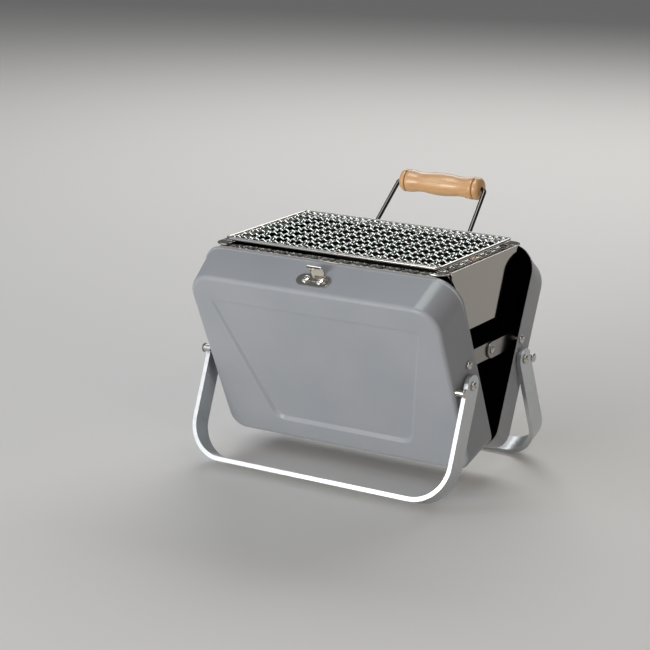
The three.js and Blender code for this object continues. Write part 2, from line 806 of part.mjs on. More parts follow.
function addLatch(half) {
  const seat = topSeat(half, latchPivotDepth);
  const out = latchPivotDepth - latchRivetDepth;
  const near = -latchPivotDepth / 4;
  const top = clearance + latchBaseThickness;
  const baseHalf = latchBaseWidth / 2;
  const base = box(-baseHalf, baseHalf, near - latchBaseDepth, near, clearance, top);
  const barrel = rodX(-latchBarrelLength / 2, latchBarrelLength / 2, 0, latchPivotLift, latchBarrelRadius);
  const web = box(-latchBarrelLength / 2, latchBarrelLength / 2, near - latchBarrelRadius, near, clearance,
    latchPivotLift - latchWireRadius - clearance);
  const holes = [
    rodX(-baseHalf, baseHalf, 0, latchPivotLift, latchWireRadius + clearance),
    ...[-1, 1].map((side) => rodZ(side * latchRivetSpan / 2, out, -overrun, top + overrun,
      latchRivetShank + clearance)),
  ];
  const body = cut(joined([base, barrel, web]), holes);
  addMesh(seat, 'latch_base', geometryOf(body), steel);
  for (const [label, side] of endsOf.back) {
    const pin = trimRivet(side * latchRivetSpan / 2, out, top + clearance, latchRivetHead, latchRivetShank);
    addMesh(seat, `latch_rivet_${label}`, pin, steel);
  }
  const tipY = -latchReach - latchTipReach * Math.cos(latchTipBend);
  const tipZ = latchTipReach * Math.sin(latchTipBend);
  const corners = [
    new THREE.Vector3(0, 0, 0),
    new THREE.Vector3(latchHalfWidth, 0, 0),
    new THREE.Vector3(latchHalfWidth, -latchReach, 0),
    new THREE.Vector3(latchHalfWidth, tipY, tipZ),
    new THREE.Vector3(-latchHalfWidth, tipY, tipZ),
    new THREE.Vector3(-latchHalfWidth, -latchReach, 0),
    new THREE.Vector3(-latchHalfWidth, 0, 0),
    new THREE.Vector3(0, 0, 0),
  ];
  const route = rounded(corners, Array(6).fill(latchCornerRadius), 3).slice(0, -1);
  const loop = new THREE.Group();
  loop.position.z = latchPivotLift;
  seat.add(loop);
  addMesh(loop, 'latch_loop', geometryOf(solid(wire(route, latchWireRadius, 8, true))), steel);
}

// Handle

function gripProfile() {
  const half = gripLength / 2;
  const bore = handleWireRadius + clearance;
  const shares = [
    [1, gripEndRadius], [0.96, gripShoulderRadius], [0.91, gripRadius], [0.87, gripRadius],
    [0.85, gripGrooveRadius], [0.83, gripRadius], [0.72, gripRadius], [0.5, gripNeckRadius],
    [0.25, (gripNeckRadius + gripRadius) / 2],
  ];
  const right = shares.map(([share, radius]) => [share * half, radius]);
  const left = right.map(([x, radius]) => [-x, radius]).reverse();
  const middle = [[0, gripRadius]];
  const outer = [...right, ...middle, ...left];
  const points = [[half, bore], ...outer, [-half, bore], [half, bore]];
  return points.reverse().map(([x, radius]) => new THREE.Vector2(radius, x));
}

function addHandle(half) {
  const seat = topSeat(half, handlePivotDepth);
  const baseTop = clearance + bracketBaseThickness;
  const wireOffset = bracketStopLift * Math.tan(handleLean) + handleWireRadius / Math.cos(handleLean);
  const wireBack = wireOffset + clearance;
  const stopBack = wireBack + bracketEarThickness;
  for (const [label, side] of endsOf.back) {
    const span = (x0, x1, y0, y1, z0, z1) => (
      side > 0 ? box(x0, x1, y0, y1, z0, z1) : box(-x1, -x0, y0, y1, z0, z1));
    const ear = new THREE.Shape();
    ear.moveTo(-bracketEarHalf, clearance);
    ear.lineTo(bracketEarHalf, clearance);
    ear.lineTo(bracketEarHalf, handlePivotLift);
    ear.absarc(0, handlePivotLift, bracketEarHalf, 0, Math.PI, false);
    ear.lineTo(-bracketEarHalf, clearance);
    const [x0, x1] = side > 0 ? [earInner, earOuter] : [-earOuter, -earInner];
    const parts = [
      span(earInner, earInner + bracketBaseLength, -stopBack, bracketEarHalf, clearance, baseTop),
      plateX(ear, x0, x1),
      span(handlePivotHalf - 2 * handleWireRadius, earOuter, -stopBack, -wireBack, clearance,
        handlePivotLift + bracketStopLift),
    ];
    const holes = [
      rodX(x0 - overrun, x1 + overrun, 0, handlePivotLift, handleWireRadius + clearance),
      rodZ(side * bracketRivetHalf, 0, -overrun, baseTop + overrun, trimRivetShank + clearance),
    ];
    addMesh(seat, `handle_bracket_${label}`, geometryOf(cut(joined(parts), holes)), steel);
    const pin = trimRivet(side * bracketRivetHalf, 0, baseTop + clearance);
    addMesh(seat, `handle_rivet_${label}`, pin, steel);
  }
  const swing = new THREE.Group();
  swing.position.z = handlePivotLift;
  swing.rotation.x = handleLean - topSlope;
  seat.add(swing);
  const end = earOuter + handleEndProud;
  const corners = [
    new THREE.Vector3(end, 0, 0),
    new THREE.Vector3(handlePivotHalf, 0, 0),
    new THREE.Vector3(handleGripHalfWire, 0, handleReach),
    new THREE.Vector3(-handleGripHalfWire, 0, handleReach),
    new THREE.Vector3(-handlePivotHalf, 0, 0),
    new THREE.Vector3(-end, 0, 0),
  ];
  const route = rounded(corners, [handleEndBend, handleBendRadius, handleBendRadius, handleEndBend]);
  addMesh(swing, 'handle_bail', geometryOf(solid(wire(route, handleWireRadius, 10))), steel);
  const grip = new THREE.LatheGeometry(gripProfile(), gripSides);
  grip.rotateZ(-Math.PI / 2);
  grip.translate(0, 0, handleReach);
  addMesh(swing, 'handle_grip', geometryOf(solid(grip)), wood);
}

// Fire box

// The outer line of a fire box wall, as distances from the middle plane and heights
function wallLine() {
  const floor = rimTopHeight - boxFloorDrop;
  const shoulder = rimTopHeight - boxShoulderDrop;
  const curve = new THREE.QuadraticBezierCurve(
    new THREE.Vector2(boxFloorHalf, floor),
    new THREE.Vector2(boxShoulderHalf, shoulder),
    new THREE.Vector2(boxFlangeStart, flangeHeight));
  return { floor, points: curve.getPoints(7) };
}

// A closed outline round a line, half a sheet to each side
function sheetShape(line, thickness) {
  const side = (sign) => line.map((point, i) => {
    const before = line[Math.max(i - 1, 0)];
    const after = line[Math.min(i + 1, line.length - 1)];
    const into = point.clone().sub(before).normalize();
    const out = after.clone().sub(point).normalize();
    const along = into.clone().add(out).normalize();
    const miter = along.dot(out.lengthSq() === 0 ? into : out);
    const normal = new THREE.Vector2(-along.y, along.x);
    return point.clone().addScaledVector(normal, sign * thickness / 2 / miter);
  });
  return new THREE.Shape([...side(1), ...side(-1).reverse()]);
}

function addFireBox(root) {
  const { floor, points } = wallLine();
  const trough = [new THREE.Vector2(boxFloorHalf - boxFloorLip, floor), ...points];
  const lip = [...points.slice(-2), new THREE.Vector2(boxFlangeEnd, flangeHeight)];
  for (const [label, turn] of [['front', -1], ['back', 1]]) {
    const parts = [
      plateX(sheetShape(trough, boxSheet), -boxHalfLength, boxHalfLength),
      plateX(sheetShape(lip, boxSheet), -boxLipHalfLength, boxLipHalfLength),
    ];
    const geometry = geometryOf(joined(parts));
    if (turn < 0) geometry.rotateZ(Math.PI);
    addMesh(root, `firebox_${label}_wall`, geometry, steel);
  }

  const inner = boxHalfLength + clearance;
  const outer = inner + endPlateSheet;
  const margin = boxSheet / 2;
  const line = points.map((point) => point.clone().add(new THREE.Vector2(margin, 0)));
  const low = floor - margin;
  const end = new THREE.Shape();
  end.moveTo(-boxFloorHalf + endCornerRadius, low);
  end.lineTo(boxFloorHalf - endCornerRadius, low);
  end.quadraticCurveTo(line[0].x, low, line[0].x, low + endCornerRadius);
  line.slice(1).forEach((point) => end.lineTo(point.x, point.y));
  end.lineTo(boxFlangeStart + margin, endFlangeTop);
  end.lineTo(-boxFlangeStart - margin, endFlangeTop);
  line.slice(1).reverse().forEach((point) => end.lineTo(-point.x, point.y));
  end.lineTo(-line[0].x, low + endCornerRadius);
  end.quadraticCurveTo(-line[0].x, low, -boxFloorHalf + endCornerRadius, low);
  for (const [label, side] of endsOf.front) {
    const [x0, x1] = side > 0 ? [inner, outer] : [-outer, -inner];
    const [f0, f1] = side > 0 ? [inner - endFlangeReach, outer] : [-outer, endFlangeReach - inner];
    const window = box(x0, x1, -endFlangeHalf, endFlangeHalf, low, endFlangeTop);
    const plate = solid(plateX(end, x0, x1)).intersect(solid(window));
    const flange = box(f0, f1, -endFlangeHalf, endFlangeHalf, endFlangeTop - endPlateSheet, endFlangeTop);
    addMesh(root, `firebox_end_plate_${label}`, geometryOf(plate.add(solid(flange))), steel);
  }

  const trayLow = floor + boxSheet / 2 + clearance;
  const trayHalf = boxFloorHalf - boxSheet - clearance;
  const tray = new THREE.Shape();
  tray.moveTo(-boxHalfLength, -trayHalf);
  tray.lineTo(boxHalfLength, -trayHalf);
  tray.lineTo(boxHalfLength, trayHalf);
  tray.lineTo(-boxHalfLength, trayHalf);
  tray.closePath();
  const pitch = 2 * (boxHalfLength - traySlotMargin) / traySlotColumns;
  for (let column = 0; column < traySlotColumns; column += 1) {
    for (let row = 0; row < traySlotRows; row += 1) {
      const x = (column - (traySlotColumns - 1) / 2) * pitch;
      const y = (row - (traySlotRows - 1) / 2) * 2 * trayHalf / traySlotRows;
      const straight = (traySlotLength - traySlotWidth) / 2;
      const slot = new THREE.Path();
      slot.absarc(x + straight, y, traySlotWidth / 2, -Math.PI / 2, Math.PI / 2, false);
      slot.absarc(x - straight, y, traySlotWidth / 2, Math.PI / 2, Math.PI * 3 / 2, false);
      slot.closePath();
      tray.holes.push(slot);
    }
  }
  addMesh(root, 'charcoal_plate', geometryOf(solid(plateZ(tray, trayLow, trayLow + trayThickness, 2))),
    steel);
}

// Grate

// The lines across a net: its two edges, and both edges of each bar from the first to the last
function barLines(edge, first, last, count, width) {
  const pitch = (last - first) / (count - 1);
  const bars = Array.from({ length: count }, (unused, k) => first + k * pitch - width / 2);
  return [-edge, ...bars.flatMap((x) => [x, x + width]), edge];
}

// A flat net: between the lines, the cells of odd column or row are bars and the others are gaps
function netPlate(linesX, linesY, low, high) {
  const columns = linesX.length - 1;
  const rows = linesY.length - 1;
  const isBar = (i, j) => i >= 0 && j >= 0 && i < columns && j < rows && (i % 2 === 1 || j % 2 === 1);
  const positions = [];
  const quad = (...corners) => {
    for (const k of [0, 1, 2, 0, 2, 3]) positions.push(...corners[k]);
  };
  for (let i = 0; i < columns; i += 1) {
    for (let j = 0; j < rows; j += 1) {
      if (!isBar(i, j)) continue;
      const [x0, x1, y0, y1] = [linesX[i], linesX[i + 1], linesY[j], linesY[j + 1]];
      quad([x0, y0, high], [x1, y0, high], [x1, y1, high], [x0, y1, high]);
      quad([x0, y0, low], [x0, y1, low], [x1, y1, low], [x1, y0, low]);
      if (!isBar(i - 1, j)) quad([x0, y0, low], [x0, y0, high], [x0, y1, high], [x0, y1, low]);
      if (!isBar(i + 1, j)) quad([x1, y0, low], [x1, y1, low], [x1, y1, high], [x1, y0, high]);
      if (!isBar(i, j - 1)) quad([x0, y0, low], [x1, y0, low], [x1, y0, high], [x0, y0, high]);
      if (!isBar(i, j + 1)) quad([x0, y1, low], [x0, y1, high], [x1, y1, high], [x1, y1, low]);
    }
  }
  const geometry = new THREE.BufferGeometry();
  geometry.setAttribute('position', new THREE.Float32BufferAttribute(positions, 3));
  const merged = mergeVertices(geometry);
  merged.computeVertexNormals();
  return merged;
}

function addGrate(root) {
  const x = grateHalfLength - grateRodRadius;
  const y = grateHalfWidth - grateRodRadius;
  const corners = [[0, -y], [x, -y], [x, y], [-x, y], [-x, -y], [0, -y]]
    .map(([px, py]) => new THREE.Vector3(px, py, grateHeight));
  const route = rounded(corners, Array(4).fill(grateCornerRadius)).slice(0, -1);
  const ring = wire(route, grateRodRadius, 8, true);
  const footY = grateHalfWidth - grateFootInset;
  const feet = [-1, 1].flatMap((sideX) => [-1, 1].map((sideY) => rodZ(sideX * x, sideY * footY,
    endFlangeTop + clearance, grateHeight, grateRodRadius, 8)));
  addMesh(root, 'grate_frame', geometryOf(joined([ring, ...feet])), steel);

  const netHalfX = x - grateRodRadius - clearance;
  const netHalfY = y - grateRodRadius - clearance;
  const low = grateHeight - netWireHeight / 2;
  const linesX = barLines(netHalfX, netLeftGap - x, x - netRightGap, netWiresAlong, netWireWidth);
  const linesY = barLines(netHalfY, netFrontGap - y, y - netBackGap, netWiresAcross, netWireWidth);
  addMesh(root, 'grate_net', netPlate(linesX, linesY, low, low + netWireHeight), steel);
}

// Assembly

function addHalf(root, turn) {
  const side = new THREE.Group();
  side.position.z = hingeHeight;
  side.rotation.z = turn;
  const half = new THREE.Group();
  half.rotation.x = foldAngle;
  side.add(half);
  root.add(side);
  return half;
}

const grill = new THREE.Group();
const frontHalf = addHalf(grill, 0);
const backHalf = addHalf(grill, Math.PI);
const stud = studPlace();
const sideHoles = [
  [legPivotDepth, legPivotHeight, legShankRadius],
  [stud.depth, stud.height, studShankRadius],
  [stayPivotDepth, stayPivotHeight, stayShankRadius],
];
const keeperHoles = [-1, 1].map((side) => [side * keeperRivetSpan / 2, keeperDepth, trimRivetShank]);
const backHoles = [-1, 1].flatMap((side) => [
  [side * latchRivetSpan / 2, latchRivetDepth, latchRivetShank],
  [side * bracketRivetHalf, handlePivotDepth, trimRivetShank],
]);

addMesh(frontHalf, 'front_shell', shellGeometry(keeperHoles, sideHoles), paint);
addMesh(backHalf, 'back_shell', shellGeometry(backHoles, sideHoles), paint);
hingeLeaf(frontHalf, 'front_hinge_leaf', 0);
hingeLeaf(backHalf, 'back_hinge_leaf', 1);
hingeRivets(frontHalf, 'front');
hingeRivets(backHalf, 'back');
addLegs(frontHalf, 'front');
addLegs(backHalf, 'back');
addStuds(frontHalf, 'front');
addStuds(backHalf, 'back');
addStays(grill, frontHalf, backHalf);
addKeeper(frontHalf);
addLatch(backHalf);
addHandle(backHalf);
addFireBox(grill);
addGrate(grill);

const pinHalf = hingeLength / 2 + hingePinProud;
const pin = rodX(-pinHalf, pinHalf, 0, hingeHeight, hingePinRadius);
addMesh(grill, 'hinge_pin', geometryOf(solid(pin)), steel);

// The origin is under the middle of the whole grill, on the table
grill.updateMatrixWorld(true);
const bounds = new THREE.Box3().setFromObject(grill, true);
grill.position.set(0, -(bounds.min.y + bounds.max.y) / 2, -bounds.min.z);

export default grill;
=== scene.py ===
import math

import bpy
from mathutils import Matrix, Vector


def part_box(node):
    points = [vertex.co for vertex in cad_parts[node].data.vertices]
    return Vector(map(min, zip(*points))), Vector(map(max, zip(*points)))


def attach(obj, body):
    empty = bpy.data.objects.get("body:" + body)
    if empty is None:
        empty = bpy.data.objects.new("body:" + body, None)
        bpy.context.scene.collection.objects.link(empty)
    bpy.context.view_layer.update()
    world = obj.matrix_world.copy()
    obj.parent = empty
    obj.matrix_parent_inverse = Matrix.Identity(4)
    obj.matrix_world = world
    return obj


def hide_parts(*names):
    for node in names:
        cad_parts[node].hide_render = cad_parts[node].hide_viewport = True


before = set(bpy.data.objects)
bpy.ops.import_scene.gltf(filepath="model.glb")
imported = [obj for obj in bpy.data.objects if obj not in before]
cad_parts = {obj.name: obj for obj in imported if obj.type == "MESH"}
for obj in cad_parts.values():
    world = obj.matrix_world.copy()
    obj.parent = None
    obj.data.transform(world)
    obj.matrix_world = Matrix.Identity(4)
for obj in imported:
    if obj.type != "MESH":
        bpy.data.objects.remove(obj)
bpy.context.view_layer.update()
mm = 0.001

# The shells' own frames: the hinge line along X, depth towards -Y, height along +Z, then leaned out
pinLow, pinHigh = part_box("hinge_pin")
hinge = {"y": (pinLow.y + pinHigh.y) / 2, "z": (pinLow.z + pinHigh.z) / 2, "lean": math.radians(23.3)}
shell = {
    "rimHalfTop": 131.7 * mm,
    "rimHalfBottom": 130 * mm,
    "height": 181.5 * mm,
    "depth": 38 * mm,
    "wall": 1.2 * mm,
    "sideInset": 4.5 * mm,
    "topInset": 6.8 * mm,
    "topCorner": 25 * mm,
    "bottomCorner": 16 * mm,
    "faceEdge": 3.8 * mm,
    # Depth and outward reach, in mm, along the rolled rim from its raw edge
    "bead": ((0.2, 0.4), (0.6, 0.8), (2.4, 0.8), (2.9, 0.3), (3.4, 0)),
    "notch": 3 * mm,  # radius cut for the hinge barrels
    "topSegments": 12, "bottomSegments": 8, "edgeSegments": 7,
}
hingePlace = Matrix.Translation((0, hinge["y"], hinge["z"]))
halfPlace = {
    "front": hingePlace @ Matrix.Rotation(hinge["lean"], 4, "X"),
    "back": hingePlace @ Matrix.Rotation(math.pi, 4, "Z") @ Matrix.Rotation(hinge["lean"], 4, "X"),
}
topSlope = math.atan(shell["topInset"] / shell["depth"])


def topPlace(half, depth):
    # A frame on a shell's top wall, +Z square to it and -Y towards the face
    height = shell["height"] - shell["topInset"] * depth / shell["depth"]
    return halfPlace[half] @ Matrix.Translation((0, -depth, height)) @ Matrix.Rotation(topSlope, 4, "X")


# Camera and lamps
camera = {
    "at": Vector((0.94218, -1.59336, 0.63096)),
    "target": Vector((-0.04602, -0.02116, 0.11989)),
    "lens": 116.375,
    "sensor": 36,
}
bpy.ops.object.camera_add(location=camera["at"])
cameraObject = bpy.context.object
cameraObject.rotation_euler = (camera["target"] - camera["at"]).to_track_quat("-Z", "Y").to_euler()
cameraObject.data.lens = camera["lens"]
cameraObject.data.sensor_width = camera["sensor"]
bpy.context.scene.camera = cameraObject


def hexColour(code):
    # An sRGB hex value turned to linear
    channels = [int(code[i:i + 2], 16) / 255 for i in (1, 3, 5)]
    linear = [c / 12.92 if c <= 0.04045 else ((c + 0.055) / 1.055) ** 2.4 for c in channels]
    return (*linear, 1)


lampTarget = Vector((0, 0, 0.1))
lamps = {
    "window": {"at": (-1.5, -0.9, 1.9), "size": (1.2, 1.2), "power": 5, "colour": "#c4dbff"},
    "front": {"at": (-1.0, -2.3, 0.6), "size": (3.6, 2.8), "power": 31, "colour": "#ffffff"},
    "low": {"at": (-0.55, -2.45, 0.35), "size": (1.1, 0.55), "power": 33, "colour": "#ffffff"},
    "room": {"at": (1.9, -0.9, 1.1), "size": (1, 1.2), "power": 5, "colour": "#ffe2cc"},
    "back": {"at": (-0.5, 1.9, 1.6), "size": (2.4, 1), "power": 32, "colour": "#ffffff"},
    "card": {"at": (-0.15, -0.45, 2.1), "size": (1.1, 1.2), "power": 36, "colour": "#f4fff8"},
    "spark": {"at": (1.3, -1.1, 1.7), "size": (0.14, 0.14), "power": 1.5, "colour": "#ffffff"},
}
for name, lamp in lamps.items():
    bpy.ops.object.light_add(type="AREA", location=lamp["at"])
    light = bpy.context.object
    light.name = f"lamp_{name}"
    light.data.shape = "RECTANGLE"
    light.data.size, light.data.size_y = lamp["size"]
    light.data.energy = lamp["power"]
    light.data.color = hexColour(lamp["colour"])[:3]
    light.visible_diffuse = name != "card"  # the card is only seen in bright metal, as the net's glints
    light.rotation_euler = (lampTarget - light.location).to_track_quat("-Z", "Y").to_euler()
bpy.context.scene.view_settings.view_transform = "Standard"
print("camera and lamps")


# Materials
def newMaterial(name, settings):
    material = bpy.data.materials.new(name)
    material.use_nodes = True
    shader = material.node_tree.nodes["Principled BSDF"]
    for key, value in settings.items():
        shader.inputs[key].default_value = value
    return material


def addNode(material, kind, settings, links):
    node = material.node_tree.nodes.new(kind)
    for key, value in settings.items():
        if isinstance(key, int) or key in node.inputs:
            node.inputs[key].default_value = value
        else:
            setattr(node, key, value)
    for key, source in links.items():
        material.node_tree.links.new(source, node.inputs[key])
    return node


def surfaceNoise(material, size, stretch=(1, 1, 1), detail=3):
    # Noise whose features are as wide as size, in metres, on the piece's own coordinates
    place = addNode(material, "ShaderNodeTexCoord", {}, {}).outputs["Object"]
    scaled = addNode(material, "ShaderNodeMapping", {"Scale": stretch}, {"Vector": place})
    return addNode(material, "ShaderNodeTexNoise", {"Scale": 1 / size, "Detail": detail},
                   {"Vector": scaled.outputs["Vector"]})


def spread(material, noise, low, high, span=(0.3, 0.7)):
    # The noise turned into a range of numbers; nearly all of its values lie in the usual span
    settings = {"From Min": span[0], "From Max": span[1], "To Min": low, "To Max": high}
    return addNode(material, "ShaderNodeMapRange", settings, {"Value": noise.outputs[0]}).outputs[0]


def tint(material, noise, dark, light, low=0.35, high=0.65):
    # The noise turned into a colour between two
    ramp = addNode(material, "ShaderNodeValToRGB", {}, {0: noise.outputs[0]})
    ramp.color_ramp.elements[0].position = low
    ramp.color_ramp.elements[0].color = hexColour(dark)
    ramp.color_ramp.elements[1].position = high
    ramp.color_ramp.elements[1].color = hexColour(light)
    return ramp.outputs[0]


def feed(material, key, source):
    material.node_tree.links.new(source, material.node_tree.nodes["Principled BSDF"].inputs[key])


def bump(material, noise, height, strength):
    node = addNode(material, "ShaderNodeBump", {"Strength": strength, "Distance": height},
                   {"Height": noise.outputs[0]})
    feed(material, "Normal", node.outputs[0])


# Baked enamel on pressed steel, sprayed: an even semi-gloss grey with a faint orange peel
enamel = newMaterial("semi_gloss_enamel", {
    "Roughness": 0.36, "Specular IOR Level": 0.25, "Coat Weight": 0.1, "Coat Roughness": 0.12})
feed(enamel, "Base Color", tint(enamel, surfaceNoise(enamel, 60 * mm), "#93969a", "#97999d"))
bump(enamel, surfaceNoise(enamel, 2 * mm, detail=2), 0.03 * mm, 0.2)

# Heat-proof black inside, sprayed thinner: dull with a dry, slightly dusty film
blackInside = newMaterial("heatproof_black", {"Roughness": 0.6, "Specular IOR Level": 0.04})
feed(blackInside, "Base Color", tint(blackInside, surfaceNoise(blackInside, 18 * mm), "#050505", "#0a0909"))
bump(blackInside, surfaceNoise(blackInside, 1.1 * mm), 0.05 * mm, 0.3)

# Extruded aluminium flat bar, clear anodised: pale and satin, with the faint lines of its extrusion
aluminium = newMaterial("anodised_aluminium", {"Metallic": 1})
feed(aluminium, "Base Color", tint(aluminium, surfaceNoise(aluminium, 40 * mm), "#c6c9ca", "#ced1d2"))
dieLines = surfaceNoise(aluminium, 2 * mm, (0.1, 1, 0.1))
feed(aluminium, "Roughness", spread(aluminium, dieLines, 0.27, 0.33))

# Cold-rolled stainless sheet, mirror polished: sharp reflections that wave a little
mirrorSteel = newMaterial("mirror_stainless", {"Metallic": 1, "Base Color": hexColour("#b2ada7")})
feed(mirrorSteel, "Roughness", spread(mirrorSteel, surfaceNoise(mirrorSteel, 25 * mm), 0.04, 0.08))
bump(mirrorSteel, surfaceNoise(mirrorSteel, 40 * mm, detail=1), 0.3 * mm, 0.1)

# The same sheet darkened as painted shade for the dark inside of the box: near black with brown patches,
# still a metal
paintedShadeSteel = newMaterial("stainless_painted_shade", {"Metallic": 1})
feed(paintedShadeSteel, "Base Color", tint(paintedShadeSteel, surfaceNoise(paintedShadeSteel, 20 * mm), "#0d0c0b", "#1a1714"))
feed(paintedShadeSteel, "Roughness", spread(paintedShadeSteel, surfaceNoise(paintedShadeSteel, 8 * mm), 0.25, 0.45))

# Stainless strip and rod with a fine brushed face, for the stays, the hinge leaves and the grate's frame
brushedSteel = newMaterial("brushed_stainless", {"Metallic": 1, "Base Color": hexColour("#9c9894")})
brushLines = surfaceNoise(brushedSteel, 3 * mm, (1, 0.06, 1))
feed(brushedSteel, "Roughness", spread(brushedSteel, brushLines, 0.2, 0.27))

# Nickel-plated steel, for the rivets, the latch and the handle's brackets: bright, slightly warm, polished
nickel = newMaterial("nickel_plate", {"Metallic": 1, "Base Color": hexColour("#cbc7c0")})
feed(nickel, "Roughness", spread(nickel, surfaceNoise(nickel, 30 * mm), 0.08, 0.13))

# Chromed wire of the handle, its colour darkened as a painted dark reflection: dark between sharp highlights
paintedReflectionChrome = newMaterial("chrome_painted_dark_reflection", {"Metallic": 1, "Base Color": hexColour("#423f3e"), "Roughness": 0.06})

# Stainless weaving wire, bright drawn: each wave of the crimp throws one sharp glint
netWire = newMaterial("bright_weaving_wire", {"Metallic": 1, "Base Color": hexColour("#b9bbb8")})
feed(netWire, "Roughness", spread(netWire, surfaceNoise(netWire, 15 * mm), 0.12, 0.18))

# Beech, turned and varnished: light tan with short darker flecks along the grain and a soft gloss
beech = newMaterial("varnished_beech", {"Roughness": 0.42, "Coat Weight": 0.35, "Coat Roughness": 0.18})
alongGrain = (0.12, 1, 1)  # drawn out along the grip
grooveRing = {"fromMiddle": 36 * mm, "halfWidth": 0.5 * mm}
mixSocket = {"factor": 0, "under": 6, "over": 7, "result": 2}  # the colour sockets of a Mix node


def overlay(material, under, over, mask):
    # A colour laid over another where the mask says
    mixed = addNode(material, "ShaderNodeMix", {"data_type": "RGBA", mixSocket["over"]: hexColour(over)},
                    {mixSocket["factor"]: mask, mixSocket["under"]: under})
    return mixed.outputs[mixSocket["result"]]


broadGrain = tint(beech, surfaceNoise(beech, 5 * mm, alongGrain, 4), "#cf9a63", "#deb382", 0.3, 0.7)
fleck = surfaceNoise(beech, 0.9 * mm, alongGrain, 2)
flecked = overlay(beech, broadGrain, "#a8713f", spread(beech, fleck, 0, 0.5, (0.6, 0.72)))
# A darker ring in each of its two grooves
place = addNode(beech, "ShaderNodeTexCoord", {}, {}).outputs["Object"]
axes = addNode(beech, "ShaderNodeSeparateXYZ", {}, {0: place})
fromMiddle = addNode(beech, "ShaderNodeMath", {"operation": "ABSOLUTE"}, {0: axes.outputs["X"]})
ringSettings = {"operation": "COMPARE", 1: grooveRing["fromMiddle"], 2: grooveRing["halfWidth"]}
atRing = addNode(beech, "ShaderNodeMath", ringSettings, {0: fromMiddle.outputs[0]})
feed(beech, "Base Color", overlay(beech, flecked, "#8a5a2e", atRing.outputs[0]))
bump(beech, fleck, 0.04 * mm, 0.3)
print("materials")


# Working helpers
near = 0.1 * mm  # how close counts as on a line
weld = {"bar": 0.01 * mm, "turned": 0.005 * mm}
flatDegrees = {"bar": 0.4, "face": 1}  # faces that differ by less are one
# Edges that turn by less are shaded round
roundDegrees = {"pressing": 40, "rivet": 32, "wire": 60, "turned": 50, "net": 80}


def startPiece():
    if bpy.context.mode != "OBJECT":
        bpy.ops.object.mode_set(mode="OBJECT")
    bpy.ops.object.select_all(action="DESELECT")


def focus(piece):
    startPiece()
    piece.select_set(True)
    bpy.context.view_layer.objects.active = piece


def pick(piece, kind, test):
    # Edit mode with only what the test says selected: a test of a place, or of a face's centre and normal
    focus(piece)
    bpy.context.tool_settings.mesh_select_mode = (kind == "VERT", kind == "EDGE", kind == "FACE")
    mesh = piece.data
    for vertex in mesh.vertices:
        vertex.select = kind == "VERT" and test(vertex.co)
    for edge in mesh.edges:
        edge.select = kind == "EDGE" and all(test(mesh.vertices[i].co) for i in edge.vertices)
    for face in mesh.polygons:
        face.select = kind == "FACE" and test(face.center, face.normal)
    bpy.ops.object.mode_set(mode="EDIT")


def applyModifier(piece, kind, settings):
    focus(piece)
    modifier = piece.modifiers.new(kind.lower(), kind)
    for key, value in settings.items():
        setattr(modifier, key, value)
    bpy.ops.object.modifier_apply(modifier=modifier.name)


def smooth(piece, degrees=35, weighted=True):
    focus(piece)
    bpy.ops.object.shade_smooth_by_angle(angle=math.radians(degrees))
    if weighted:
        applyModifier(piece, "WEIGHTED_NORMAL", {"keep_sharp": True})


def dress(piece, name, body, materials, replaced):
    piece.name = piece.data.name = name
    if list(piece.data.materials) != materials:
        piece.data.materials.clear()
        for material in materials:
            piece.data.materials.append(material)
    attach(piece, body)
    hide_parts(*replaced)
    startPiece()


def copyOf(piece):
    twin = piece.copy()
    twin.data = piece.data.copy()
    bpy.context.scene.collection.objects.link(twin)
    return twin


def softened(node, name, body, material, edge, degrees=30):
    # A CAD node's shape with its edges broken, as sheet and bar have after tumbling
    piece = bpy.data.objects.new(name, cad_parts[node].data.copy())
    bpy.context.scene.collection.objects.link(piece)
    focus(piece)
    bpy.ops.object.mode_set(mode="EDIT")
    bpy.ops.mesh.select_all(action="SELECT")
    bpy.ops.mesh.remove_doubles(threshold=weld["bar"])
    bpy.ops.mesh.dissolve_limited(angle_limit=math.radians(flatDegrees["bar"]))
    bpy.ops.object.mode_set(mode="OBJECT")
    applyModifier(piece, "BEVEL", {
        "width": edge, "segments": 2, "limit_method": "ANGLE", "angle_limit": math.radians(degrees),
        "use_clamp_overlap": True})
    smooth(piece, degrees)
    dress(piece, name, body, [material], [node])
    return piece


def roundedRoute(corners, radii, steps=8):
    # Corners of a wire's route rounded by arcs, its two ends kept
    route = [corners[0]]
    for i, radius in enumerate(radii):
        before, corner, after = corners[i:i + 3]
        into, out = (corner - before).normalized(), (after - corner).normalized()
        half = into.angle(out) / 2
        centre = corner + (out - into).normalized() * (radius / math.cos(half))
        first = corner - into * (radius * math.tan(half)) - centre
        for k in range(steps + 1):
            angle = k / steps * 2 * half
            route.append(centre + first * math.cos(angle) + into * (radius * math.sin(angle)))
    return route + [corners[-1]]


def bentWire(route, radius, closed=False, sides=5):
    # A round wire along a route, as a mesh
    curve = bpy.data.curves.new("wire", "CURVE")
    curve.dimensions = "3D"
    curve.bevel_depth = radius
    curve.bevel_resolution = sides
    curve.use_fill_caps = True
    spline = curve.splines.new("POLY")
    spline.points.add(len(route) - 1)
    for point, place in zip(spline.points, route):
        point.co = (*place, 1)
    spline.use_cyclic_u = closed
    piece = bpy.data.objects.new("wire", curve)
    bpy.context.scene.collection.objects.link(piece)
    focus(piece)
    bpy.ops.object.convert(target="MESH")
    return bpy.context.object


